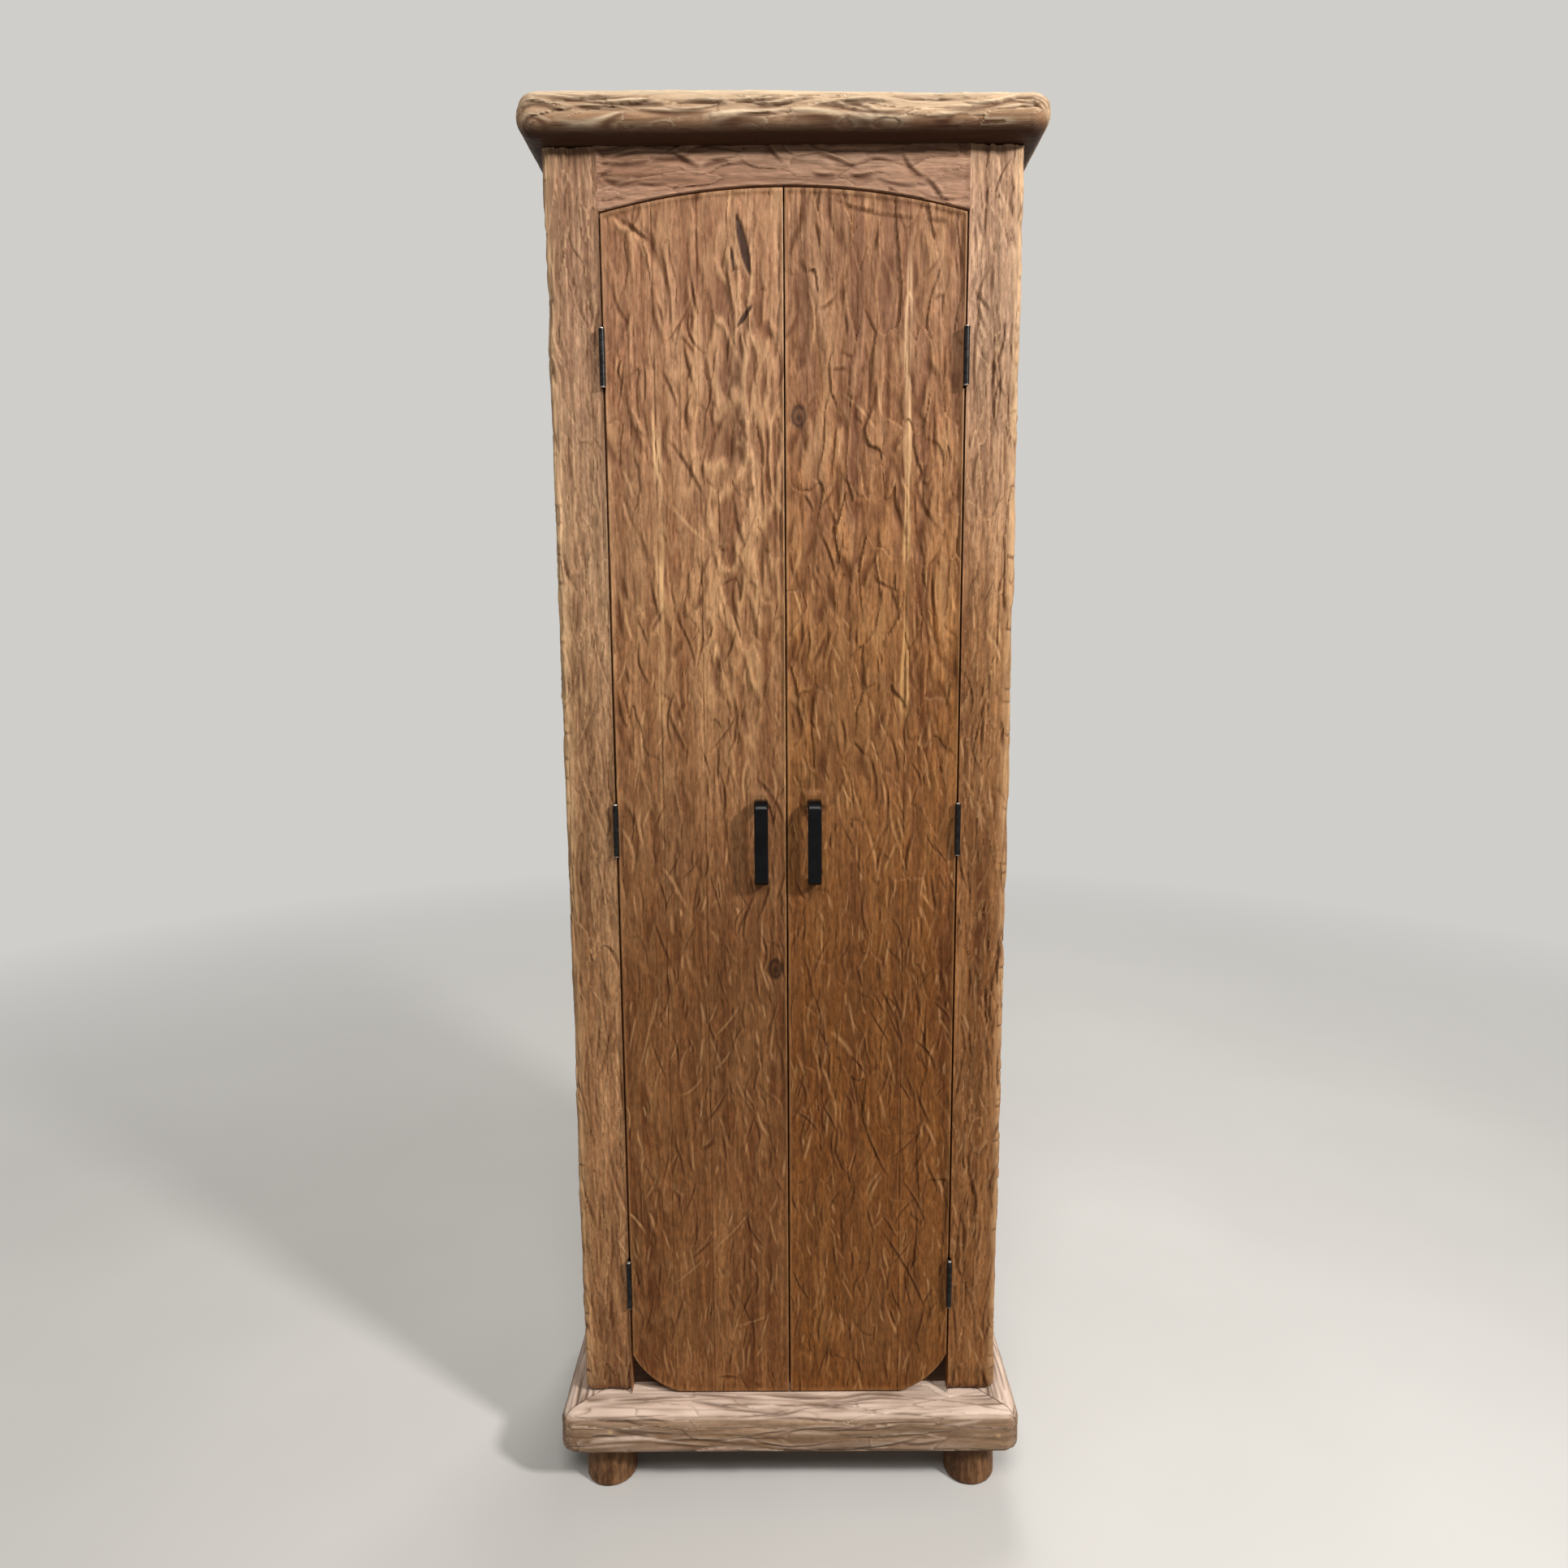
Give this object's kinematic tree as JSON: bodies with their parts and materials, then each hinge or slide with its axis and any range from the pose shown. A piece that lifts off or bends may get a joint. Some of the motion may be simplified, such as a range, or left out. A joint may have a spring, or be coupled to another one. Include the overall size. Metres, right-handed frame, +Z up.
{
  "type": "two-door cupboard",
  "caption": "Tall narrow hewn-teak cupboard with plank doors under a shallow arch, butt hinges, bow handles, inside shelves, a thick rounded top, a mitred plinth and round feet.",
  "frame": {"origin": "on the floor, under the middle of the cupboard", "axes": "+Z up, +Y towards the back, the doors face -Y, +X to the right of a person facing the doors"},
  "size_m": [0.666, 0.39, 1.908],
  "materials": {
    "teak_door": "hand-hewn oiled teak planks with gouge marks along the grain",
    "teak_frame": "hand-hewn teak, worn pale on the edges",
    "teak_pale": "hewn pale teak with soft rounded edges",
    "teak_foot": "rough-turned dark teak",
    "teak_inside": "planed teak, oiled",
    "dowel_wood": "plain beech dowel",
    "black_iron": "satin black painted iron",
    "hinge_iron": "black lacquered steel with rubbed knuckles",
    "screw_steel": "zinc plated steel",
    "strike_steel": "plain steel plate",
    "catch_plastic": "brown moulded catch body"
  },
  "bodies": {
    "case": {"back_board_1": "teak_inside", "back_board_2": "teak_inside", "back_board_3": "teak_inside", "bottom_rail": "teak_inside", "case_dowels": "dowel_wood", "catch_magnets": "catch_plastic", "floor_panel": "teak_inside", "foot_front_left": "teak_foot", "foot_front_right": "teak_foot", "foot_rear_left": "teak_foot", "foot_rear_right": "teak_foot", "front_stile_left": "teak_frame", "front_stile_right": "teak_frame", "hinge_bottom_left_frame_leaf": "hinge_iron", "hinge_bottom_right_frame_leaf": "hinge_iron", "hinge_middle_left_frame_leaf": "hinge_iron", "hinge_middle_right_frame_leaf": "hinge_iron", "hinge_pins_left": "hinge_iron", "hinge_pins_right": "hinge_iron", "hinge_screws_frame": "screw_steel", "hinge_top_left_frame_leaf": "hinge_iron", "hinge_top_right_frame_leaf": "hinge_iron", "plinth_back": "teak_pale", "plinth_front": "teak_pale", "plinth_left": "teak_pale", "plinth_right": "teak_pale", "shelf_1": "teak_inside", "shelf_2": "teak_inside", "shelf_3": "teak_inside", "shelf_4": "teak_inside", "shelf_cleats": "teak_inside", "side_panel_left": "teak_frame", "side_panel_right": "teak_frame", "top_rail": "teak_frame", "top_slab": "teak_pale", "top_stop": "teak_inside"},
    "left_door": {"door_left_batten_lower": "teak_inside", "door_left_batten_upper": "teak_inside", "door_left_plank_1": "teak_door", "door_left_plank_2": "teak_door", "door_left_plank_3": "teak_door", "handle_left": "black_iron", "handle_screws_left": "screw_steel", "hinge_bottom_left_door_leaf": "hinge_iron", "hinge_middle_left_door_leaf": "hinge_iron", "hinge_screws_door_left": "screw_steel", "hinge_top_left_door_leaf": "hinge_iron", "strike_plate_left": "strike_steel"},
    "right_door": {"door_right_batten_lower": "teak_inside", "door_right_batten_upper": "teak_inside", "door_right_plank_1": "teak_door", "door_right_plank_2": "teak_door", "handle_right": "black_iron", "handle_screws_right": "screw_steel", "hinge_bottom_right_door_leaf": "hinge_iron", "hinge_middle_right_door_leaf": "hinge_iron", "hinge_screws_door_right": "screw_steel", "hinge_top_right_door_leaf": "hinge_iron", "strike_plate_right": "strike_steel"}
  },
  "joints": [
    {"name": "left_door_hinge", "type": "hinge", "parent": "case", "child": "left_door", "pos_m": [-0.2318, -0.1546, 0.99275], "axis": [0, 0, -1], "range_deg": [0, 170]},
    {"name": "right_door_hinge", "type": "hinge", "parent": "case", "child": "right_door", "pos_m": [0.2318, -0.1546, 0.99275], "axis": [0, 0, 1], "range_deg": [0, 170]}
  ]
}
